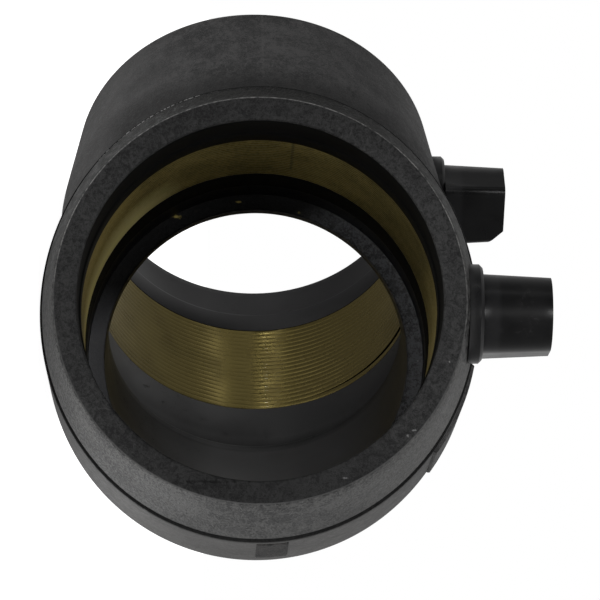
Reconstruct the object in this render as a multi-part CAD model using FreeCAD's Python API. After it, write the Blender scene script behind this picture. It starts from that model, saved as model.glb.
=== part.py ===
import FreeCAD, Part
import math
import os

# 45 degree electrofusion elbow for 63 mm pipe, lying on its side, terminals up.
# Millimetres. The mouth of the near socket is centred on the origin and opens towards -Y.
# The bend lies in the XY plane and turns towards -X.

# sockets and waterway
BEND_ANGLE = 45.0
BORE_R = 31.8
SOCKET_DEPTH = 60.0
MOUTH_EDGE = 0.5
LEAD_IN_GAP = 0.4
LEAD_IN_TAPER = 0.1
LEAD_IN_LENGTH = 9.0
LEAD_IN_STEP = 0.5
STOP_LEDGE = 3.05
WATERWAY_LEAD = 1.75
WATERWAY_INNER_BEND = 3.25

# outside
RIM_WALL = 4.4
RIM_EDGE = 0.6
BODY_WALL = 7.5
BODY_INNER_BEND = 24.7
FAR_TAPER_LENGTH = 25.0
COLLAR_STEP = 0.4
COLLAR_SHORT_SIDE = 2.66
COLLAR_TILT = 18.0
GROOVE_WIDTH = 1.2
GROOVE_DEPTH = 1.0

# heating winding
WINDING_START = 14.0
WINDING_TURNS = 20
WINDING_PITCH = 1.475
POCKET_DEPTH = 1.2
WIRE_HEIGHT = 0.62
FIT_GAP = 0.05

# terminals
TERMINAL_FROM_MOUTH = 12.6
SEAT_DEPTH = 1.4
FLANGE_R = 8.9
FLANGE_THICK = 2.6
FLANGE_EDGE = 0.6
SHROUD_BASE_R = 7.15
SHROUD_TAPER = 0.55
SHROUD_HEIGHT = 12.3
SHROUD_FLAT_INSET = 0.05
SHROUD_FLAT_EDGE = 1.4
SHROUD_BEVEL = 3.1
RECESS_R = 4.75
PIN_R = 2.0
PIN_STEM_R = 1.6
PIN_BELOW_EDGE = 3.2
PIN_TIP = 0.5

# marks of the moulding
PAD_FROM = 25.0
PAD_LENGTH = 25.0
PAD_RAISE = 0.6
PAD_START_ANGLE = 10.0
PAD_SWEEP = 26.0
GATE_FROM = 31.5
GATE_LENGTH = 17.5
GATE_WIDTH = 6.0
GATE_OFFSET = 3.0
GATE_RAISE = 0.3

# sizes that follow
half = math.radians(BEND_ANGLE / 2.0)
tilt = math.radians(COLLAR_TILT)
mouth_r = BORE_R + LEAD_IN_GAP
rim_r = mouth_r + RIM_WALL
body_r = BORE_R + BODY_WALL
collar_r = body_r - COLLAR_STEP
waterway_r = BORE_R - STOP_LEDGE
pocket_r = BORE_R + POCKET_DEPTH
pocket_end = WINDING_START + WINDING_TURNS * WINDING_PITCH
waterway_bend_r = waterway_r + WATERWAY_INNER_BEND
waterway_start = SOCKET_DEPTH + WATERWAY_LEAD
mouth_to_centre = waterway_start + waterway_bend_r * math.tan(half)
body_bend_r = body_r + BODY_INNER_BEND
body_start = mouth_to_centre - body_bend_r * math.tan(half)
collar_length = COLLAR_SHORT_SIDE + collar_r * math.tan(tilt)

X = FreeCAD.Vector(1, 0, 0)
Y = FreeCAD.Vector(0, 1, 0)
Z = FreeCAD.Vector(0, 0, 1)
ORIGIN = FreeCAD.Vector(0, 0, 0)
WELL_CLEAR = 200.0
corner = FreeCAD.Vector(0, mouth_to_centre, 0)
mitre_normal = FreeCAD.Vector(-math.sin(half), math.cos(half), 0)


def across(shape):
    """The same shape on the far socket, mirrored in the mitre plane."""
    return shape.mirror(corner, mitre_normal)


def turned(points):
    """Solid of revolution about the near socket axis, from (radius, depth) points."""
    ring = [FreeCAD.Vector(r, y, 0) for r, y in points]
    face = Part.Face(Part.makePolygon(ring + [ring[0]]))
    return face.revolve(ORIGIN, Y, 360)


def swept_bend(radius, bend_radius, start):
    """Round bar along the bend, from one tangent point to the other."""
    ring = Part.Circle(FreeCAD.Vector(0, start, 0), Y, radius)
    disc = Part.Face(Part.Wire(ring.toShape()))
    centre = FreeCAD.Vector(-bend_radius, start, 0)
    return disc.revolve(centre, Z, BEND_ANGLE)


def tilted_slab(depth, thickness):
    """Slab parallel to the collar line, its near face crossing the axis at this depth."""
    slab = Part.makeBox(WELL_CLEAR, thickness * math.cos(tilt), WELL_CLEAR)
    slab.translate(FreeCAD.Vector(-WELL_CLEAR / 2, 0, -WELL_CLEAR / 2))
    slab.rotate(ORIGIN, Z, COLLAR_TILT)
    slab.translate(FreeCAD.Vector(0, depth, 0))
    return slab


def collar():
    """Collar that widens from the round rim to its slanting end line."""
    edge = turned([(0, 0), (rim_r - RIM_EDGE, 0), (rim_r, RIM_EDGE), (0, RIM_EDGE)])
    rim = Part.Circle()
    rim.Center = FreeCAD.Vector(0, RIM_EDGE, 0)
    rim.Axis = FreeCAD.Vector(0, -1, 0)
    rim.XAxis = X
    rim.Radius = rim_r
    line = Part.Ellipse(
        FreeCAD.Vector(collar_r, collar_length + collar_r * math.tan(tilt), 0),
        FreeCAD.Vector(0, collar_length, collar_r),
        FreeCAD.Vector(0, collar_length, 0),
    )
    flare = Part.makeLoft([Part.Wire(rim.toShape()), Part.Wire(line.toShape())], True, True)
    return edge.fuse(flare)


def near_outside():
    """Near half of the outside: collar, slanting groove and body up to the bend."""
    tube = Part.makeCylinder(body_r, body_start, ORIGIN, Y)
    tube = tube.cut(tilted_slab(collar_length - WELL_CLEAR, WELL_CLEAR))
    groove = tilted_slab(collar_length, GROOVE_WIDTH)
    core = Part.makeCylinder(body_r - GROOVE_DEPTH, body_start, ORIGIN, Y)
    return collar().fuse(tube).cut(groove.cut(core))


def far_outside():
    """Far half of the outside before it is mirrored into place: a plain long taper."""
    return turned([
        (0, 0),
        (rim_r - RIM_EDGE, 0),
        (rim_r, RIM_EDGE),
        (body_r, FAR_TAPER_LENGTH),
        (body_r, body_start),
        (0, body_start),
    ])


def socket_bore():
    """Space inside one socket, from outside the mouth to the start of the bend."""
    return turned([
        (0, -MOUTH_EDGE),
        (mouth_r + 2 * MOUTH_EDGE, -MOUTH_EDGE),
        (mouth_r, MOUTH_EDGE),
        (mouth_r - LEAD_IN_TAPER, LEAD_IN_LENGTH),
        (BORE_R, LEAD_IN_LENGTH + LEAD_IN_STEP),
        (BORE_R, WINDING_START),
        (pocket_r, WINDING_START),
        (pocket_r, pocket_end),
        (BORE_R, pocket_end),
        (BORE_R, SOCKET_DEPTH),
        (waterway_r, SOCKET_DEPTH),
        (waterway_r, waterway_start),
        (0, waterway_start),
    ])


def winding():
    """Turns of heating wire side by side, joined at their backs into one ring."""
    back = pocket_r - FIT_GAP
    crest = BORE_R + FIT_GAP
    root = crest + WIRE_HEIGHT
    first = WINDING_START + FIT_GAP
    pitch = (pocket_end - WINDING_START - 2 * FIT_GAP) / WINDING_TURNS
    points = [(back, first), (root, first)]
    for turn in range(WINDING_TURNS):
        left = first + turn * pitch
        points.append((crest, left + pitch / 2))
        points.append((root, left + pitch))
    points.append((back, first + WINDING_TURNS * pitch))
    return turned(points)


def seat_height(rise, length):
    """Height of a terminal's seat, sunk into an outside that rises over this length."""
    share = (TERMINAL_FROM_MOUTH - RIM_EDGE) / (length - RIM_EDGE)
    return rim_r + rise * share - SEAT_DEPTH


def upright(radius, low, high):
    """Upright bar on the terminal axis."""
    base = FreeCAD.Vector(0, TERMINAL_FROM_MOUTH, low)
    return Part.makeCylinder(radius, high - low, base, Z)


def shroud_flat(floor, side):
    """Squared side of the shroud, facing the bend, with one outer corner bevelled."""
    base = SHROUD_BASE_R - SHROUD_FLAT_INSET
    tip = base - SHROUD_TAPER
    block = Part.makeWedge(-base, 0, -base, -tip, -tip, base, SHROUD_HEIGHT, 0, 0, tip)
    block.rotate(ORIGIN, X, 90)
    block.translate(FreeCAD.Vector(0, TERMINAL_FROM_MOUTH, floor))
    top = floor + SHROUD_HEIGHT
    behind = TERMINAL_FROM_MOUTH + tip
    uprights = [
        e for e in block.Edges
        if e.BoundBox.ZLength > SHROUD_HEIGHT / 2 and e.BoundBox.YMin > behind - SHROUD_TAPER
    ]
    block = block.makeFillet(SHROUD_FLAT_EDGE, uprights)
    bevel = Part.makePolygon([
        FreeCAD.Vector(side * (tip - SHROUD_BEVEL), 0, top),
        FreeCAD.Vector(side * (tip + SHROUD_BEVEL), 0, top - 2 * SHROUD_BEVEL),
        FreeCAD.Vector(side * (tip + SHROUD_BEVEL), 0, top + SHROUD_BEVEL),
        FreeCAD.Vector(side * (tip - SHROUD_BEVEL), 0, top + SHROUD_BEVEL),
        FreeCAD.Vector(side * (tip - SHROUD_BEVEL), 0, top),
    ])
    return block.cut(Part.Face(bevel).extrude(Y * WELL_CLEAR))


def terminal_shroud(seat, side):
    """Round flange and tapered shroud around the contact pin, bevelled towards this side of X."""
    floor = seat + FLANGE_THICK
    top = floor + SHROUD_HEIGHT
    flange = upright(FLANGE_R, seat, floor)
    rim = [e for e in flange.Edges if e.BoundBox.ZMin > floor - FLANGE_EDGE / 2]
    flange = flange.makeChamfer(FLANGE_EDGE, rim)
    base = FreeCAD.Vector(0, TERMINAL_FROM_MOUTH, floor)
    cup = Part.makeCone(SHROUD_BASE_R, SHROUD_BASE_R - SHROUD_TAPER, SHROUD_HEIGHT, base, Z)
    shape = flange.fuse(cup.fuse(shroud_flat(floor, side)))
    shape = shape.cut(upright(RECESS_R, floor, top + FLANGE_THICK))
    shape = shape.cut(upright(PIN_STEM_R + FIT_GAP, seat - FLANGE_THICK, floor + FLANGE_THICK))
    return shape.removeSplitter()


def terminal_pin(seat):
    """Contact pin on its stem, from the back of the winding to just below the shroud's edge."""
    floor = seat + FLANGE_THICK
    tip = floor + SHROUD_HEIGHT - PIN_BELOW_EDGE
    contact = upright(PIN_R, floor, tip)
    end = [e for e in contact.Edges if e.BoundBox.ZMin > tip - PIN_TIP]
    contact = contact.makeChamfer(PIN_TIP, end)
    return contact.fuse(upright(PIN_STEM_R, pocket_r + FIT_GAP, floor))


def terminal_space(seat):
    """Seat and stem hole in the body for one terminal."""
    recess = upright(FLANGE_R + FIT_GAP, seat, seat + WELL_CLEAR)
    hole = upright(PIN_STEM_R + FIT_GAP, pocket_r - 4 * FIT_GAP, seat + FLANGE_THICK)
    return recess.fuse(hole)


def plain_pad():
    """Slightly raised plain panel beside the near terminal."""
    low = body_r - GROOVE_DEPTH
    high = body_r + PAD_RAISE
    pad = Part.Face(Part.makePolygon([
        FreeCAD.Vector(0, PAD_FROM, low),
        FreeCAD.Vector(0, PAD_FROM, high),
        FreeCAD.Vector(0, PAD_FROM + PAD_LENGTH, high),
        FreeCAD.Vector(0, PAD_FROM + PAD_LENGTH, low),
        FreeCAD.Vector(0, PAD_FROM, low),
    ]))
    pad.rotate(ORIGIN, Y, PAD_START_ANGLE)
    return pad.revolve(ORIGIN, Y, PAD_SWEEP)


def gate_mark():
    """Rest of the moulding gate on the outer side of the bend."""
    depth = BODY_WALL / 2
    mark = Part.makeBox(depth + GATE_RAISE, GATE_LENGTH, GATE_WIDTH)
    place = FreeCAD.Vector(body_r - depth, GATE_FROM, GATE_OFFSET - GATE_WIDTH / 2)
    mark.translate(place)
    return mark


def elbow_body(near_seat, far_seat):
    """The whole moulding: both outsides and the bend, less the bores and the terminal seats."""
    shape = near_outside().fuse(swept_bend(body_r, body_bend_r, body_start))
    shape = shape.fuse(across(far_outside()))
    shape = shape.fuse(plain_pad()).fuse(gate_mark())
    bore = socket_bore()
    shape = shape.cut(bore).cut(swept_bend(waterway_r, waterway_bend_r, waterway_start))
    shape = shape.cut(across(bore))
    return shape.cut(terminal_space(near_seat)).cut(across(terminal_space(far_seat)))


near_seat = seat_height(collar_r - rim_r, collar_length)
far_seat = seat_height(body_r - rim_r, FAR_TAPER_LENGTH)
pieces = {
    "elbow_body": elbow_body(near_seat, far_seat),
    "near_winding": winding(),
    "far_winding": across(winding()),
    "near_terminal_shroud": terminal_shroud(near_seat, -1),
    "far_terminal_shroud": across(terminal_shroud(far_seat, 1)),
    "near_terminal_pin": terminal_pin(near_seat),
    "far_terminal_pin": across(terminal_pin(far_seat)),
}

os.makedirs("parts", exist_ok=True)
for name, shape in pieces.items():
    if len(shape.Solids) == 1:
        shape = shape.Solids[0]
    print(name, shape.isValid(), len(shape.Solids), round(shape.Volume), shape.BoundBox)
    shape.exportStep("parts/" + name + ".step")
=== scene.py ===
import math

import bmesh
import bpy
import numpy as np
from mathutils import Matrix, Vector


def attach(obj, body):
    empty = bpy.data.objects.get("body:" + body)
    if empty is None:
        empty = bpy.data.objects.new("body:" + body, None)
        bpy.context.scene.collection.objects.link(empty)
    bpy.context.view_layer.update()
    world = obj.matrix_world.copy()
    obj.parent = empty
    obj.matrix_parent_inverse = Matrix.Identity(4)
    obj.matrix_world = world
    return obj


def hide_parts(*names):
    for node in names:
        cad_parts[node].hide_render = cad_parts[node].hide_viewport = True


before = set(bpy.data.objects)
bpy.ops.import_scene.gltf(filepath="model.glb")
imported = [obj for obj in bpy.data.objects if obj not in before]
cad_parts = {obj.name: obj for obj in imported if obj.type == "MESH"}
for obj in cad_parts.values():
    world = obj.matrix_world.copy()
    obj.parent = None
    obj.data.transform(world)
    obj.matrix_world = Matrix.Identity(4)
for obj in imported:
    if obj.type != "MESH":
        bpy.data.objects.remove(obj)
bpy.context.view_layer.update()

# One electrofusion elbow lying on its side, terminals up (+Z). Lengths are in millimetres
# here and become metres where a mesh is made. A ring of the elbow's skin has a radius and
# a depth, which is measured from the socket's mouth along its axis.
MM = 0.001
HALF = math.radians(22.5)  # half of the bend
CENTRE = 75.00483  # from a mouth to the point where the two axes cross
MITRE = np.array([-math.sin(HALF), math.cos(HALF), 0.0])  # normal of the plane between the legs

BORE = 31.8
WAY = 28.75  # waterway behind the stops
WAY_BEND, BODY_BEND = 32.0, 64.0  # radii of the bend, inside and outside
STOP = 60.0  # depth of the ledge that stops the pipe
POCKET = 33.0  # bottom of the ring in the wall that holds the winding
BODY = 39.3
RIM_EDGE = 36.6
COLLAR_END = 15.3  # depth of the collar's slanting end on the axis
TILT = math.tan(math.radians(18.0))

COIL_START, COIL_END = 14.0, 43.5
TURNS, PITCH = 20, 1.3955
WIRE = 0.735  # half the width of a turn
LOOSE = 1.7  # how far the last turn of the far winding is drawn away
SETBACK = 0.05  # of the turns, behind the bore's wall

AROUND = 240  # points in a ring of the skin
PHI = np.linspace(0, 2 * math.pi, AROUND, endpoint=False)
COS, SIN = np.cos(PHI), np.sin(PHI)


def across(points):
    """Points mirrored in the mitre plane."""
    points = np.asarray(points, dtype=float)
    distance = (points - np.array([0.0, CENTRE, 0.0])) @ MITRE
    return points - 2 * distance[..., None] * MITRE


# shader nodes

def grey(value):
    return (value, value, value)


def material(name):
    mat = bpy.data.materials.new(name)
    mat.use_nodes = True
    return mat, mat.node_tree, mat.node_tree.nodes["Principled BSDF"]


def node(tree, kind, **values):
    made = tree.nodes.new(kind)
    for key, value in values.items():
        setattr(made, key, value)
    return made


def place(tree):
    """Position on the part, in metres."""
    return node(tree, "ShaderNodeTexCoord").outputs["Object"]


def mapped(tree, coords, **values):
    """Coordinates that are moved, turned or scaled."""
    made = node(tree, "ShaderNodeMapping")
    for name, value in values.items():
        made.inputs[name].default_value = value
    tree.links.new(coords, made.inputs["Vector"])
    return made.outputs[0]


def noise(tree, coords, scale, detail=3.0, roughness=0.55, distortion=0.0):
    made = node(tree, "ShaderNodeTexNoise")
    made.inputs["Scale"].default_value = scale
    made.inputs["Detail"].default_value = detail
    made.inputs["Roughness"].default_value = roughness
    made.inputs["Distortion"].default_value = distortion
    tree.links.new(coords, made.inputs["Vector"])
    return made.outputs["Fac"]


def ramp(tree, value, stops):
    """Colour or number that changes with the value, through stops of (value, result)."""
    made = node(tree, "ShaderNodeValToRGB")
    points = made.color_ramp.elements
    while len(points) < len(stops):
        points.new(0.5)
    for point, (at, result) in zip(points, stops):
        point.position = at
        point.color = (*(result if isinstance(result, tuple) else grey(result)), 1.0)
    tree.links.new(value, made.inputs["Fac"])
    return made.outputs["Color"]


def calc(tree, operation, a, b=0.0, clamp=False):
    made = node(tree, "ShaderNodeMath", operation=operation, use_clamp=clamp)
    for slot, value in enumerate((a, b)):
        if isinstance(value, (int, float)):
            made.inputs[slot].default_value = value
        else:
            tree.links.new(value, made.inputs[slot])
    return made.outputs[0]


def times(tree, a, b):
    return calc(tree, "MULTIPLY", a, b)


def plus(tree, a, b):
    return calc(tree, "ADD", a, b)


def blend(tree, share, under, over):
    made = node(tree, "ShaderNodeMix", data_type="RGBA")
    for name, value in (("Factor", share), ("A", under), ("B", over)):
        if isinstance(value, tuple):
            made.inputs[name].default_value = (*value, 1.0)
        elif isinstance(value, float):
            made.inputs[name].default_value = value
        else:
            tree.links.new(value, made.inputs[name])
    return made.outputs["Result"]


def bump(tree, height, strength, distance):
    made = node(tree, "ShaderNodeBump")
    made.inputs["Strength"].default_value = strength
    made.inputs["Distance"].default_value = distance
    tree.links.new(height, made.inputs["Height"])
    return made.outputs["Normal"]


def part_xyz(tree, coords):
    made = node(tree, "ShaderNodeSeparateXYZ")
    tree.links.new(coords, made.inputs[0])
    return made.outputs


def stripe(tree, height, middle, full, none):
    """Mask of a thin level line: 1 within full millimetres of its middle, 0 beyond none."""
    off = calc(tree, "ABSOLUTE", calc(tree, "SUBTRACT", height, middle * MM))
    return ramp(tree, times(tree, off, 1 / MM), [(full, 1.0), (none, 0.0)])


def spot(tree, coords, centre, size, wobble):
    """Mask of one small mark: 1 inside an ellipsoid with an uneven edge."""
    local = mapped(tree, coords, Location=tuple(-c / s for c, s in zip(centre, size)),
                   Scale=tuple(1 / MM / s for s in size))
    far = node(tree, "ShaderNodeVectorMath", operation="LENGTH")
    tree.links.new(local, far.inputs[0])
    uneven = plus(tree, far.outputs["Value"], times(tree, wobble, 1.2))
    return ramp(tree, uneven, [(0.45, 1.0), (0.95, 0.0)])


# materials

SHADE_LIMIT = 0.01  # a tone darker than this is painted shade, which also dims the sheen
SHADE_DULLING = 0.85
SEAM = 1.2  # height of the mould's split line
JOINT = 5.9  # height of the dark line across the near winding
FINE_SCRATCH = (0.09, 0.088, 0.086)


def tinted(tree, coords, colour, tones):
    """Soft tones set by position, mostly painted light and painted shade.

    A tone is a share, a colour and its rises. A rise is a direction and two places along
    it, in millimetres: the tone has none of its share at the first and all at the second.
    Gives the colour and how much sheen the painted shade leaves, or None for all of it."""
    sheen = None
    for share, shade, rises in tones:
        mask = share
        for way, low, high in rises:
            along = node(tree, "ShaderNodeVectorMath", operation="DOT_PRODUCT")
            along.inputs[1].default_value = way
            tree.links.new(coords, along.inputs[0])
            span = node(tree, "ShaderNodeMapRange")
            span.inputs["From Min"].default_value = low * MM
            span.inputs["From Max"].default_value = high * MM
            tree.links.new(along.outputs["Value"], span.inputs["Value"])
            mask = times(tree, span.outputs["Result"], mask)
        colour = blend(tree, mask, colour, shade)
        # a painted shade dims the sheen as well, through the specular tint
        if max(shade) < SHADE_LIMIT:
            left = calc(tree, "SUBTRACT", 1.0, times(tree, mask, SHADE_DULLING))
            sheen = left if sheen is None else times(tree, sheen, left)
    return colour, sheen


def set_sheen(tree, shader, level, sheen):
    shader.inputs["Specular IOR Level"].default_value = level
    if sheen is not None:
        tree.links.new(sheen, shader.inputs["Specular Tint"])


def streaked(tree, coords, colour):
    """Pale flow streaks along the body and the mould's split line, broken in places."""
    lines = mapped(tree, coords, Scale=(30.0, 30.0, 420.0))
    flow = ramp(tree, noise(tree, lines, 1.0, 3.0, 0.6), [(0.45, 0.0), (0.75, 1.0)])
    colour = blend(tree, times(tree, flow, 0.10), colour, (0.13, 0.128, 0.126))
    seam = stripe(tree, part_xyz(tree, coords)["Z"], SEAM, 0.12, 0.34)
    gaps = ramp(tree, noise(tree, coords, 160.0), [(0.4, 0.2), (0.6, 1.0)])
    return blend(tree, times(tree, times(tree, seam, gaps), 0.22), colour, (0.11, 0.108, 0.105))


def grained(name, dark, light, fine, rough, depth, worm=0.0, marks=(), streaks=False,
            tones=(), level=0.25, coarse=0.45, span=0.07, cloud=0.0, drawn=1.0):
    """Moulded polyethylene with salt and pepper grain over soft mottling, and small marks.

    fine is the grain's scale and depth its relief in metres. worm curls the grain, coarse is
    the share of its larger part, drawn below 1 makes it longer along the socket, and span
    is how much of the grain's range lies between dark and light. cloud adds soft clouds."""
    mat, tree, shader = material(name)
    coords = place(tree)
    longer = mapped(tree, coords, Scale=(1.0, drawn, 1.0))
    small = noise(tree, longer, fine, 3.0, 0.65, worm)
    middle = noise(tree, longer, fine * 0.3, 3.0, 0.6, worm)
    wide = noise(tree, coords, 55.0, 4.0, 0.6)
    grain = plus(tree, times(tree, small, 1.0 - coarse), times(tree, middle, coarse))
    tone = plus(tree, times(tree, grain, 0.8 - cloud), times(tree, wide, 0.2))
    if cloud:
        tone = plus(tree, tone, times(tree, noise(tree, coords, 240.0, 2.0), cloud))
    colour = ramp(tree, tone, [(0.5 - span, dark), (0.5 + span, light)])
    if streaks:
        colour = streaked(tree, coords, colour)
    colour, sheen = tinted(tree, coords, colour, tones)
    for centre, size, shade, share in marks:
        mask = times(tree, spot(tree, coords, centre, size, middle), share)
        colour = blend(tree, mask, colour, shade)
    roughness = ramp(tree, middle, [(0.35, rough - 0.1), (0.65, rough + 0.1)])
    tree.links.new(colour, shader.inputs["Base Color"])
    tree.links.new(roughness, shader.inputs["Roughness"])
    tree.links.new(bump(tree, grain, 1.0, depth), shader.inputs["Normal"])
    set_sheen(tree, shader, level, sheen)
    return mat


def smooth(name, dark, light, rough, level, scratch=0.0, tones=()):
    """Smooth moulded plastic with wipe marks and hair scratches."""
    mat, tree, shader = material(name)
    coords = place(tree)
    wide = noise(tree, coords, 70.0, 4.0, 0.6)
    colour = ramp(tree, wide, [(0.35, dark), (0.68, light)])
    roughness = ramp(tree, wide, [(0.3, rough - 0.05), (0.7, rough + 0.07)])
    if scratch:
        lines = mapped(tree, coords, Rotation=(0.4, 0.9, 0.6), Scale=(1.0, 0.12, 1.0))
        hair = noise(tree, lines, 520.0, 2.0, 0.5, 0.8)
        thin = ramp(tree, hair, [(0.494, 0.0), (0.5, 1.0), (0.506, 0.0)])
        gaps = ramp(tree, noise(tree, coords, 120.0, 2.0), [(0.52, 0.0), (0.62, 1.0)])
        cut = times(tree, times(tree, thin, gaps), scratch)
        colour = blend(tree, cut, colour, FINE_SCRATCH)
        roughness = calc(tree, "ADD", roughness, cut, True)
    colour, sheen = tinted(tree, coords, colour, tones)
    relief = bump(tree, noise(tree, coords, 260.0, 3.0, 0.5), 0.4, 0.00005)
    tree.links.new(colour, shader.inputs["Base Color"])
    tree.links.new(roughness, shader.inputs["Roughness"])
    tree.links.new(relief, shader.inputs["Normal"])
    set_sheen(tree, shader, level, sheen)
    return mat


def brass(name, dark, light, metal, rough, coat=0.0, joint=False, tones=(), patchy=0.65,
          grit=0.5, rim=(1.0, 1.0, 1.0)):
    """Drawn wire, dulled in patches, with small bright spots. joint draws the dark line."""
    mat, tree, shader = material(name)
    coords = place(tree)
    wide = noise(tree, coords, 110.0, 4.0, 0.6)
    spots = noise(tree, coords, 1700.0, 3.0, 0.6)
    tone = plus(tree, times(tree, wide, patchy), times(tree, spots, 1.0 - patchy))
    colour, _ = tinted(tree, coords, ramp(tree, tone, [(0.38, dark), (0.62, light)]), tones)
    if joint:
        split = part_xyz(tree, coords)
        line = stripe(tree, split["Z"], JOINT, 0.15, 0.35)
        line = times(tree, line, calc(tree, "LESS_THAN", split["Y"], 0.036))
        line = times(tree, line, calc(tree, "LESS_THAN", split["X"], -0.02))
        colour = blend(tree, times(tree, line, 0.5), colour, (0.02, 0.018, 0.012))
    roughness = ramp(tree, tone, [(0.35, rough + 0.1), (0.65, rough - 0.06)])
    tree.links.new(colour, shader.inputs["Base Color"])
    tree.links.new(roughness, shader.inputs["Roughness"])
    tree.links.new(bump(tree, spots, grit, 0.00004), shader.inputs["Normal"])
    shader.inputs["Coat Weight"].default_value = coat
    shader.inputs["Coat Roughness"].default_value = 0.07
    shader.inputs["Metallic"].default_value = metal
    shader.inputs["Specular Tint"].default_value = (*rim, 1.0)
    return mat


# marks: centre, size, colour, share
PALE, BRASS = grey(0.30), (0.45, 0.36, 0.10)
RIM_MARKS = [
    # two dark marks low on the rim: painted shadow under the lip of a shallow dent
    ((33.2, 0.0, -7.5), (2.6, 1.0, 20.0), grey(0.004), 0.7),
    ((32.5, 0.0, -7.5), (1.0, 1.0, 22.0), grey(0.001), 1.4),
    ((31.6, 0.0, 15.0), (0.6, 0.6, 1.5), PALE, 0.7),
    ((24.1, 0.0, 25.9), (0.8, 0.6, 0.9), PALE, 0.8),
    ((23.1, 0.0, 27.1), (0.6, 0.6, 1.3), PALE, 0.7),
    ((10.9, 0.0, 33.2), (0.7, 0.6, 0.6), PALE, 0.8),
]
LEDGE_MARKS = [
    ((-27.3, STOP, -15.6), (1.2, 0.8, 3.0), BRASS, 1.4),
    ((-30.3, STOP, -3.7), (0.7, 0.8, 2.4), BRASS, 1.2),
    ((-28.3, STOP, 8.0), (0.7, 0.8, 1.1), BRASS, 1.0),
    ((0.3, STOP, 30.8), (0.8, 0.8, 0.8), PALE, 1.2),
]
COLLAR_MARKS = [
    ((-34.9, 1.9, -14.2), (0.7, 5.0, 0.9), PALE, 0.35),
    ((-34.6, 2.6, -15.4), (0.8, 4.0, 0.7), PALE, 0.3),
]

# directions for the tones: down as the camera sees it, into the near socket, the way the
# terminals point, out of the far socket, square to the collar's end, to the ledge's shaded corner
DOWN, INWARD, TERMINAL = (1, 0, 0), (0, 1, 0), (0, 0, 1)
ALONG, GROOVEWARD, SHADED_CORNER = (-0.7071, 0.7071, 0), (-TILT, 1, 0), (-0.883, 0, -0.469)

OUTSIDE = grained(
    "outside", (0.012, 0.012, 0.0122), (0.060, 0.0585, 0.0585), 2800.0, 0.62, 0.00018,
    streaks=True, coarse=0.55, span=0.058, cloud=0.15, drawn=0.6, tones=[
        # painted highlight along the far leg's upper left
        (0.3, (0.080, 0.077, 0.077), [(TERMINAL, -14.0, -33.0), (DOWN, -20.0, -45.0)]),
        # painted light low on the near leg, behind the collar
        (0.35, (0.090, 0.088, 0.083), [(GROOVEWARD, 60.0, 40.0), (DOWN, 20.0, 34.0)]),
        # painted shade on the strip just behind the collar's groove
        (0.7, grey(0.004), [(GROOVEWARD, 18.2, 17.0)]),
        # painted shade in the crease where the far leg rises behind the collar
        (0.65, grey(0.008), [(ALONG, 104.0, 96.0), (DOWN, -30.0, -45.0),
                             (TERMINAL, -31.0, -26.0)]),
        # painted shade on the upper right
        (0.3, grey(0.008), [(TERMINAL, 8.0, 30.0), (DOWN, 8.0, -15.0)]),
    ])
COLLAR = grained(
    "collar", grey(0.005), (0.088, 0.087, 0.085), 2200.0, 0.60, 0.00034,
    marks=COLLAR_MARKS, span=0.06, drawn=0.4, tones=[
        # painted shade, darker towards the top
        (0.85, (0.0098, 0.0098, 0.0092), [(DOWN, 12.0, -22.0)]),
        # painted light on the lower right
        (0.35, (0.078, 0.077, 0.075), [(TERMINAL, 12.0, 26.0), (DOWN, 8.0, 18.0)]),
        # painted shade along the bottom
        (0.4, grey(0.012), [(DOWN, 28.0, 37.0)]),
        # painted shade at the collar's end, by the groove
        (0.7, grey(0.004), [(GROOVEWARD, 14.2, 15.2)]),
    ])
RIM = grained(
    "rim", (0.006, 0.006, 0.0062), grey(0.031), 2500.0, 0.55, 0.00026,
    worm=1.1, marks=RIM_MARKS, level=0.18, coarse=0.5, span=0.075, tones=[
        # painted shade at the bottom of the rim and, weaker, at its top
        (0.4, grey(0.004), [(DOWN, 20.0, 33.0)]),
        (0.2, grey(0.004), [(DOWN, -20.0, -33.0)]),
    ])
# a lighter copy of the rim plastic on the rims' rounded outer edges: painted highlight, kept to
# the upper half by its tone
EDGE = grained(
    "edge", grey(0.03), (0.17, 0.168, 0.163), 1700.0, 0.45, 0.00010,
    tones=[(0.9, grey(0.03), [(DOWN, -14.0, 10.0)])])
FLASH = grained("flash", grey(0.08), (0.30, 0.30, 0.295), 1500.0, 0.5, 0.0001)
INSIDE = smooth(
    "inside", (0.0205, 0.0194, 0.0209), (0.0330, 0.0315, 0.0336), 0.40, 0.38, 0.6,
    # painted shade on the far bore next to its ledge
    tones=[(0.9, grey(0.003), [(ALONG, 74.5, 71.7)])])
WATERWAY = smooth(
    "waterway", (0.0390, 0.0373, 0.0395), (0.0624, 0.0602, 0.0629), 0.42, 0.48, 0.3, tones=[
        # painted shade on the left side of the waterway
        (0.95, (0.003, 0.0024, 0.0016), [(TERMINAL, -8.0, -20.0)]),
        # painted shade next to the far ledge's edge
        (0.95, grey(0.003), [(ALONG, 65.4, 67.3)]),
    ])
LEAD_IN = smooth(
    "lead_in", (0.0200, 0.0190, 0.0204), (0.0310, 0.0299, 0.0316), 0.42, 0.38, 0.7)
LEDGE = grained(
    "ledge", (0.007, 0.007, 0.008), (0.066, 0.068, 0.074), 2400.0, 0.50, 0.00018,
    worm=0.6, marks=LEDGE_MARKS, span=0.05, tones=[
        # painted shade towards the upper left
        (0.93, grey(0.003), [(SHADED_CORNER, 16.0, 22.0)]),
        # painted light on the left, from the middle down
        (0.85, (0.100, 0.101, 0.110), [(TERMINAL, -22.0, -28.0), (DOWN, -14.0, -4.0)]),
    ])
# a much darker copy of the inside plastic, as painted shade: in the winding's pocket, on the far
# ledge and in the near leg's bore
SHADED_INSIDE = smooth("shaded_inside", grey(0.0022), grey(0.0035), 0.60, 0.08)
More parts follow.
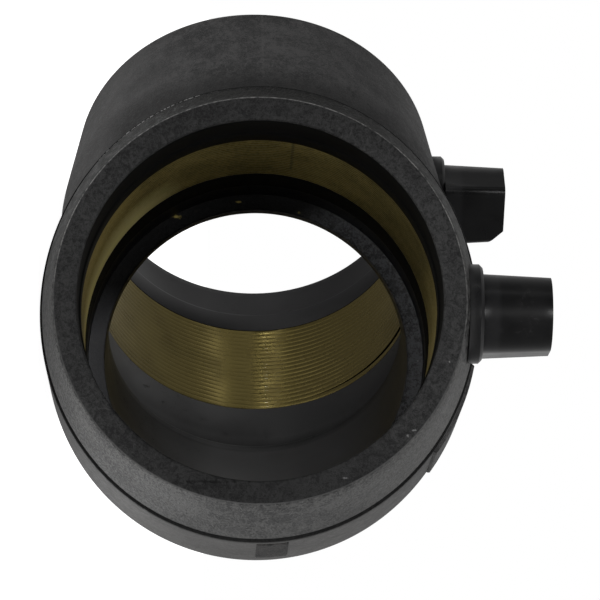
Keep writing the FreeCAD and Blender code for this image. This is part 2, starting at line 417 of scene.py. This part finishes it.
# a darker copy of the outside plastic: painted shade in the collar's groove
GROOVE = grained("groove", grey(0.003), grey(0.010), 2600.0, 0.70, 0.00020, level=0.1)
GATE = grained(
    "gate", grey(0.003), (0.042, 0.040, 0.039), 1300.0, 0.75, 0.0008, worm=1.2, span=0.045)
SHROUD = smooth(
    "shroud", (0.0034, 0.0034, 0.0036), (0.0056, 0.0056, 0.0058), 0.30, 0.22, 0.3,
    # lighter at the foot, below 42.2 mm
    tones=[(0.9, (0.0105, 0.0105, 0.011), [(TERMINAL, 43.0, 42.2)])])
NEAR_WIRE = brass(
    "near_wire", (0.11, 0.088, 0.028), (0.28, 0.225, 0.078), 0.6, 0.36, coat=0.1,
    joint=True, patchy=0.5, tones=[
        # painted highlight on the winding's upper left
        (0.3, (0.9, 0.70, 0.22), [(TERMINAL, -20.0, -30.0), (DOWN, 8.0, -6.0)]),
        # painted highlight at the inner end of the upper left
        (1.0, (1.0, 0.90, 0.40), [(TERMINAL, -14.0, -23.0), (DOWN, 8.0, -6.0),
                                  (INWARD, 27.0, 38.0)]),
        # painted light on the lower right
        (0.3, (1.0, 0.80, 0.28), [(TERMINAL, 14.0, 26.0), (DOWN, -12.0, 4.0)]),
        # painted shade on the upper right
        (0.5, (0.05, 0.04, 0.013), [(TERMINAL, 12.0, 24.0), (DOWN, 4.0, -12.0)]),
    ])
FAR_WIRE = brass(
    "far_wire", (0.170, 0.133, 0.040), (0.225, 0.178, 0.055), 0.95, 0.22, coat=0.1,
    patchy=0.9, grit=0.02, rim=(0.8, 0.74, 0.58), tones=[
        # painted shade towards the left
        (0.85, (0.06, 0.048, 0.018), [(TERMINAL, -6.0, -26.0)]),
        # painted light towards the right
        (0.5, (0.36, 0.285, 0.11), [(TERMINAL, 8.0, 24.0)]),
    ])
PIN = brass("pin", (0.50, 0.38, 0.15), (0.66, 0.52, 0.24), 1.0, 0.26)


# meshes

def mesh_object(name, points, faces, slots, materials, smooth_angle=32.0):
    mesh = bpy.data.meshes.new(name)
    mesh.from_pydata([tuple(p) for p in np.asarray(points) * MM], [], faces)
    for mat in materials:
        mesh.materials.append(mat)
    mesh.polygons.foreach_set("material_index", slots)
    mesh.polygons.foreach_set("use_smooth", [True] * len(faces))
    mesh.update()
    mesh.set_sharp_from_angle(angle=math.radians(smooth_angle))
    made = bpy.data.objects.new(name, mesh)
    bpy.context.scene.collection.objects.link(made)
    return made


def quads(a, b, sides):
    """Faces between the ring of points that starts at number a and the one at b."""
    return [(a + i, b + i, b + (i + 1) % sides, a + (i + 1) % sides) for i in range(sides)]


# the elbow's skin

def ring(radius, depth):
    return np.c_[radius * COS, np.full(AROUND, 1.0) * depth, radius * SIN]


def line_ring(radius, depth):
    """Ring in the slanting plane of the collar's end."""
    return np.c_[radius * COS, depth + radius * COS * TILT, radius * SIN]


def bend_ring(radius, bend_radius, angle):
    start = CENTRE - bend_radius * math.tan(HALF)
    out = radius * COS + bend_radius
    return np.c_[-bend_radius + out * math.cos(angle), start + out * math.sin(angle),
                 radius * SIN]


def between(low, high, shares):
    return [low + (high - low) * share for share in shares]


def inside_rings(drawn):
    """Rings and skins from the bend's middle out to the mouth.

    drawn lets the pocket's end follow the far winding's last turn."""
    degrees = np.degrees(PHI)
    share = (degrees - 90.0) % 360.0 / 360.0
    start = COIL_START + PITCH * share
    end = COIL_END - PITCH * (1 - share)
    if drawn:
        rise = np.clip((degrees - 14.0) / 70.0, 0, 1)
        end = end + np.where(degrees < 90.0, LOOSE * rise, 0.0)
    # the darker copy of the inside plastic paints shade on the far ledge and on the near leg's
    # plain bore and lead-in
    ledge = SHADED_INSIDE if drawn else LEDGE
    plain, mouth = (INSIDE, LEAD_IN) if drawn else (SHADED_INSIDE, SHADED_INSIDE)
    rings = [(bend_ring(WAY, WAY_BEND, a), WATERWAY) for a in np.linspace(HALF, 0, 8)]
    rings += [(ring(radius, depth), skin) for radius, depth, skin in [
        (WAY, 63.0, WATERWAY), (WAY, 60.4, WATERWAY),
        (28.82, 60.2, ledge), (29.05, STOP, ledge), (31.55, STOP, ledge),
        (31.75, 59.9, INSIDE), (BORE, 59.7, INSIDE),
        (BORE, 52.0, plain), (BORE, end + 0.15, SHADED_INSIDE), (BORE + SETBACK, end, SHADED_INSIDE),
        (POCKET, end, SHADED_INSIDE), (POCKET, 30.0, SHADED_INSIDE), (POCKET, start, SHADED_INSIDE),
        (BORE + SETBACK, start, mouth), (BORE, start - 0.1, mouth),
        (BORE, 9.6, mouth), (31.84, 9.3, mouth), (32.06, 8.9, mouth), (32.1, 8.6, mouth),
        (32.18, 2.0, mouth), (32.2, 0.6, RIM), (32.3, 0.25, RIM), (32.5, 0.06, RIM),
        (32.75, 0.0, RIM),
    ]]
    return rings


def near_outside():
    """Rim, collar, slanting groove and body of the near leg."""
    edge = ring(RIM_EDGE, 0.6)
    rings = [(ring(34.2, 0.0), RIM), (ring(35.9, 0.0), RIM), (ring(36.2, 0.06), EDGE),
             (ring(36.42, 0.22), COLLAR), (edge, COLLAR)]
    rings += [(p, COLLAR) for p in between(edge, line_ring(38.9, COLLAR_END),
                                           (0.3, 0.6, 0.9, 0.98))]
    rings += [(line_ring(radius, depth), skin) for radius, depth, skin in [
        (38.82, COLLAR_END, COLLAR), (38.6, 15.38, GROOVE), (38.35, 15.42, GROOVE),
        (38.3, 16.4, GROOVE), (39.12, 16.5, GROOVE), (39.25, 16.6, OUTSIDE),
    ]]
    rings += [(p, OUTSIDE) for p in between(line_ring(BODY, 16.85),
                                            ring(BODY, CENTRE - BODY_BEND * math.tan(HALF)),
                                            (0.0, 0.3, 0.65, 1.0))]
    rings += [(bend_ring(BODY, BODY_BEND, a), OUTSIDE) for a in np.linspace(0, HALF, 12)[1:]]
    return rings


def far_outside():
    """Rim and plain long taper of the far leg, from its mouth to the bend's middle."""
    edge = ring(RIM_EDGE, 0.62)
    rings = [(ring(34.2, 0.0), RIM), (ring(35.8, 0.0), EDGE), (ring(36.0, 0.04), EDGE),
             (ring(36.53, 0.54), EDGE), (edge, OUTSIDE)]
    rings += [(p, OUTSIDE) for p in between(edge, ring(BODY, 25.0), (0.3, 0.6, 0.93))]
    rings += [(ring(39.28, 25.6), OUTSIDE), (ring(BODY, 27.0), OUTSIDE),
              (ring(BODY, 36.0), OUTSIDE)]
    rings += [(bend_ring(BODY, BODY_BEND, a), OUTSIDE) for a in np.linspace(0, HALF, 12)]
    return rings


def body():
    """The two legs as one closed skin: near leg inside out, then the far leg back again."""
    skins = [OUTSIDE, RIM, INSIDE, LEDGE, SHADED_INSIDE, EDGE, COLLAR, GROOVE, WATERWAY, LEAD_IN]
    near = inside_rings(False) + near_outside()
    far = [(across(p), skin) for p, skin in inside_rings(True) + far_outside()]
    points = [p for p, _ in near] + [p for p, _ in far[-2:0:-1]]
    rows = [skin for _, skin in near[:-1]] + [skin for _, skin in far[-2::-1]]
    faces, slots = [], []
    for row, skin in enumerate(rows):
        faces += quads(row * AROUND, (row + 1) % len(points) * AROUND, AROUND)
        slots += [skins.index(skin)] * AROUND
    return mesh_object("elbow", np.vstack(points), faces, slots, skins)


# heating wire and small pieces

def helix(name, far):
    """One length of wire, turn by turn. On the far side the end of it is drawn away."""
    steps, sides = 144, 10
    raised, skin = (0.05, FAR_WIRE) if far else (0.28, NEAR_WIRE)
    turn = np.arange(TURNS * steps + 1) / steps
    angle = 2 * math.pi * turn + math.pi / 2
    depth = COIL_START + 0.06 + WIRE + PITCH * turn
    if far:
        depth = depth + LOOSE * np.clip((turn - (TURNS - 0.21)) / 0.21, 0, 1)
    spin = np.linspace(0, 2 * math.pi, sides, endpoint=False) + math.pi / sides
    out = BORE + SETBACK + raised + raised * np.cos(spin)[None, :]
    points = np.stack([
        out * np.cos(angle)[:, None],
        depth[:, None] + np.sin(spin)[None, :] * WIRE,
        out * np.sin(angle)[:, None],
    ], axis=-1).reshape(-1, 3)
    faces = []
    for row in range(TURNS * steps):
        for a, b, c, d in quads(row * sides, (row + 1) * sides, sides):
            faces.append((a, d, c, b))
    faces.append(tuple(range(sides))[::-1])
    faces.append(tuple(range(TURNS * steps * sides, (TURNS * steps + 1) * sides)))
    if far:
        points = across(points)
        faces = [f[::-1] for f in faces]
    return mesh_object(name, points, faces, [0] * len(faces), [skin], 60.0)


def curved_panel(name, depths, angles, base, raised, skin):
    """Panel with a soft edge that follows the round body, between two depths and angles."""
    soft = math.degrees(0.3 / base)
    (low, high), (start, end) = depths, angles
    grid_a = np.concatenate([[start, start + soft * 0.4, start + soft],
                             np.linspace(start, end, 26)[1:-1],
                             [end - soft, end - soft * 0.4, end]])
    grid_d = np.concatenate([[low, low + 0.12, low + 0.3],
                             np.linspace(low, high, 8)[1:-1],
                             [high - 0.3, high - 0.12, high]])
    rows, cols = len(grid_a), len(grid_d)
    points, faces = [], []
    for i, angle in enumerate(np.radians(grid_a)):
        for j, depth in enumerate(grid_d):
            inset = min(i, rows - 1 - i, j, cols - 1 - j)
            radius = base + raised * (0.0, 0.7, 1.0)[min(inset, 2)]
            points.append((radius * math.sin(angle), depth, radius * math.cos(angle)))
    for i in range(rows - 1):
        for j in range(cols - 1):
            a, b = i * cols + j, (i + 1) * cols + j
            faces.append((a, a + 1, b + 1, b))
    return mesh_object(name, points, faces, [0] * len(faces), [skin], 50.0)


def thread(name, path, radii, skin, sides=6):
    """Thin raised line along a path, with its own radius at each point."""
    along = np.gradient(path, axis=0)
    along /= np.linalg.norm(along, axis=1)[:, None]
    side = np.cross(along, np.array([0.0, 1.0, 0.0]))
    side /= np.linalg.norm(side, axis=1)[:, None]
    other = np.cross(along, side)
    spin = np.linspace(0, 2 * math.pi, sides, endpoint=False)
    points = np.vstack([
        p + r * (np.cos(spin)[:, None] * s + np.sin(spin)[:, None] * o)
        for p, r, s, o in zip(path, radii, side, other)
    ])
    faces = []
    for row in range(len(path) - 1):
        faces += quads(row * sides, (row + 1) * sides, sides)
    faces.append(tuple(range(sides)))
    faces.append(tuple(range((len(path) - 1) * sides, len(path) * sides))[::-1])
    return mesh_object(name, points, faces, [0] * len(faces), [skin], 60.0)


def flash_line():
    """Line of flash on the collar's end, broken into uneven dashes."""
    rng = np.random.default_rng(5)
    steps, dashes, reach = 320, 60, 38.8
    angle = np.radians(np.linspace(196, 228, steps))
    depth = COLLAR_END - 0.06 + reach * np.cos(angle) * TILT
    path = np.c_[reach * np.cos(angle), depth, reach * np.sin(angle)]
    solid = np.arange(dashes) % 2
    lengths = np.where(solid, rng.integers(6, 15, dashes), rng.integers(3, 6, dashes))
    heights = np.where(solid, rng.random(dashes) * 0.08 + 0.06, 0.0)
    radii = 0.02 + np.convolve(np.repeat(heights, lengths)[:steps], (0.25, 0.5, 0.25), "same")
    return thread("flash_line", path, radii, FLASH)


def rounded(mesh, radius):
    """Soften the moulding's edges."""
    shape = bmesh.new()
    shape.from_mesh(mesh)
    bmesh.ops.remove_doubles(shape, verts=shape.verts, dist=0.00001)
    bmesh.ops.dissolve_limit(shape, angle_limit=0.002, verts=shape.verts, edges=shape.edges)
    hard = [e for e in shape.edges if e.is_manifold and e.calc_face_angle() > math.radians(22)]
    bmesh.ops.bevel(shape, geom=hard, offset=radius * MM, segments=3, profile=0.5,
                    affect="EDGES", clamp_overlap=True)
    shape.to_mesh(mesh)
    shape.free()


def put(piece, slot, *replaced):
    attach(piece, "root")
    if replaced:
        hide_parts(*replaced)


put(body(), "body_plastic", "elbow_body")
put(helix("near_wire", False), "heating_wire", "near_winding")
put(helix("far_wire", True), "heating_wire", "far_winding")
put(curved_panel("plain_panel", (25.0, 50.0), (10.0, 36.0), 39.0, 0.9, OUTSIDE), "body_plastic")
put(curved_panel("gate_rest", (31.5, 49.0), (81.3, 90.0), 39.2, 0.38, GATE), "body_plastic")
put(flash_line(), "body_plastic")

for name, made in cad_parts.items():
    if name.endswith("pin"):
        made.data.materials.clear()
        made.data.materials.append(PIN)
    if name.endswith("shroud"):
        copy = bpy.data.objects.new(name + "_moulding", made.data.copy())
        bpy.context.scene.collection.objects.link(copy)
        copy.matrix_world = made.matrix_world
        copy.data.materials.clear()
        copy.data.materials.append(SHROUD)
        rounded(copy.data, 0.8)
        for polygon in copy.data.polygons:
            polygon.use_smooth = True
            polygon.material_index = 0
        copy.data.set_sharp_from_angle(angle=math.radians(35))
        put(copy, "shroud_plastic", name)


# floor and light

FLOOR_COLOUR = 0.95
SEEN = 0.95  # the floor's own strength to the camera; the lamps add the rest of white


def make_floor():
    """White to the camera; to all other rays a soft glow that fades around the part."""
    bpy.ops.mesh.primitive_plane_add(size=60, location=(0, 0, -BODY * MM))
    floor = bpy.context.object
    floor.name = "floor"
    mat, tree, shader = material("floor")
    shader.inputs["Roughness"].default_value = 0.9
    shader.inputs["Specular IOR Level"].default_value = 0.0
    camera_ray = node(tree, "ShaderNodeLightPath").outputs["Is Camera Ray"]
    split = part_xyz(tree, place(tree))
    lit = ramp(tree, plus(tree, split["X"], 0.3),
               [(0.0, 0.25), (0.3, 0.5), (0.4, 1.2), (0.8, 1.2), (1.0, 0.25)])
    fade = ramp(tree, times(tree, split["Y"], 5.0), [(0.55, 1.0), (0.75, 0.15)])
    tree.links.new(calc(tree, "MAXIMUM", times(tree, fade, FLOOR_COLOUR), camera_ray),
                   shader.inputs["Base Color"])
    own = times(tree, times(tree, lit, fade), calc(tree, "SUBTRACT", 1.0, camera_ray))
    glow = node(tree, "ShaderNodeEmission")
    tree.links.new(plus(tree, own, times(tree, camera_ray, SEEN)), glow.inputs["Strength"])
    total = node(tree, "ShaderNodeAddShader")
    tree.links.new(shader.outputs[0], total.inputs[0])
    tree.links.new(glow.outputs[0], total.inputs[1])
    tree.links.new(total.outputs[0], tree.nodes["Material Output"].inputs["Surface"])
    floor.data.materials.append(mat)
    return floor


def make_world():
    """White to the camera; to all other rays bright behind the part, dim on the near side."""
    world = bpy.data.worlds.new("surround")
    bpy.context.scene.world = world
    world.use_nodes = True
    tree = world.node_tree
    sky = tree.nodes["Background"]
    split = part_xyz(tree, node(tree, "ShaderNodeTexCoord").outputs["Generated"])
    behind = plus(tree, times(tree, split["Y"], 0.5), 0.5)
    lower = plus(tree, times(tree, split["X"], 0.5), 0.5)
    colour = ramp(tree, behind, [(0.0, 0.08), (0.2, 0.16), (0.5, 0.65), (0.65, 0.9)])
    strength = ramp(tree, lower, [(0.1, 0.40), (0.5, 0.85), (0.8, 0.6), (1.0, 0.3)])
    aside = ramp(tree, calc(tree, "ABSOLUTE", split["Z"]), [(0.0, 1.0), (0.45, 0.85), (1.0, 1.0)])
    tree.links.new(colour, sky.inputs["Color"])
    tree.links.new(times(tree, strength, aside), sky.inputs["Strength"])
    white = node(tree, "ShaderNodeBackground")
    white.inputs["Color"].default_value = (1, 1, 1, 1)
    swap = node(tree, "ShaderNodeMixShader")
    tree.links.new(node(tree, "ShaderNodeLightPath").outputs["Is Camera Ray"], swap.inputs["Fac"])
    tree.links.new(sky.outputs[0], swap.inputs[1])
    tree.links.new(white.outputs[0], swap.inputs[2])
    tree.links.new(swap.outputs[0], tree.nodes["World Output"].inputs["Surface"])


def lamp(name, where, aim, size, power):
    """Soft box; the camera doesn't see it."""
    light = bpy.data.lights.new(name, "AREA")
    light.shape = "RECTANGLE"
    light.size, light.size_y = size
    light.energy = power
    made = bpy.data.objects.new(name, light)
    made.location = where
    made.rotation_euler = (Vector(aim) - Vector(where)).to_track_quat("-Z", "Y").to_euler()
    made.visible_camera = False
    bpy.context.scene.collection.objects.link(made)


def make_camera():
    """Level with the part and rolled, so that the terminals point to the right."""
    camera = bpy.data.objects.new("camera", bpy.data.cameras.new("camera"))
    bpy.context.scene.collection.objects.link(camera)
    bpy.context.scene.camera = camera
    camera.data.lens = 240.0
    camera.data.sensor_width = 36.0
    camera.data.clip_start = 0.05
    camera.data.clip_end = 100.0
    right = Vector((-0.005952, -0.02414, 0.999691)).normalized()
    back = Vector((0.188161, -0.981878, -0.02259)).normalized()
    up = back.cross(right).normalized()
    turn = Matrix((right, up, back)).transposed().to_4x4()
    camera.matrix_world = Matrix.Translation((0.13216, -0.68859, -0.0089)) @ turn


make_floor()
make_world()
lamp("side_a", (0.50, -0.25, 0.75), (0.0, 0.05, 0.0), (0.5, 0.5), 2.8)
lamp("side_b", (-0.75, -0.45, 0.25), (-0.03, 0.08, 0.0), (0.12, 0.6), 0.25)
lamp("front", (0.05, -0.66, 0.38), (0.0, 0.03, -0.02), (0.10, 0.14), 1.3)
# behind the far mouth, for the streaks on the far winding
lamp("behind_a", (-0.26, 0.182, 0.060), (-0.011, 0.131, -0.005), (0.30, 0.020), 0.008)
lamp("behind_b", (-0.26, 0.180, -0.046), (-0.011, 0.131, 0.004), (0.30, 0.030), 0.020)
lamp("behind_c", (-0.26, 0.167, -0.021), (-0.011, 0.131, 0.003), (0.002, 0.002), 0.005)
make_camera()
bpy.context.scene.view_settings.view_transform = "Standard"
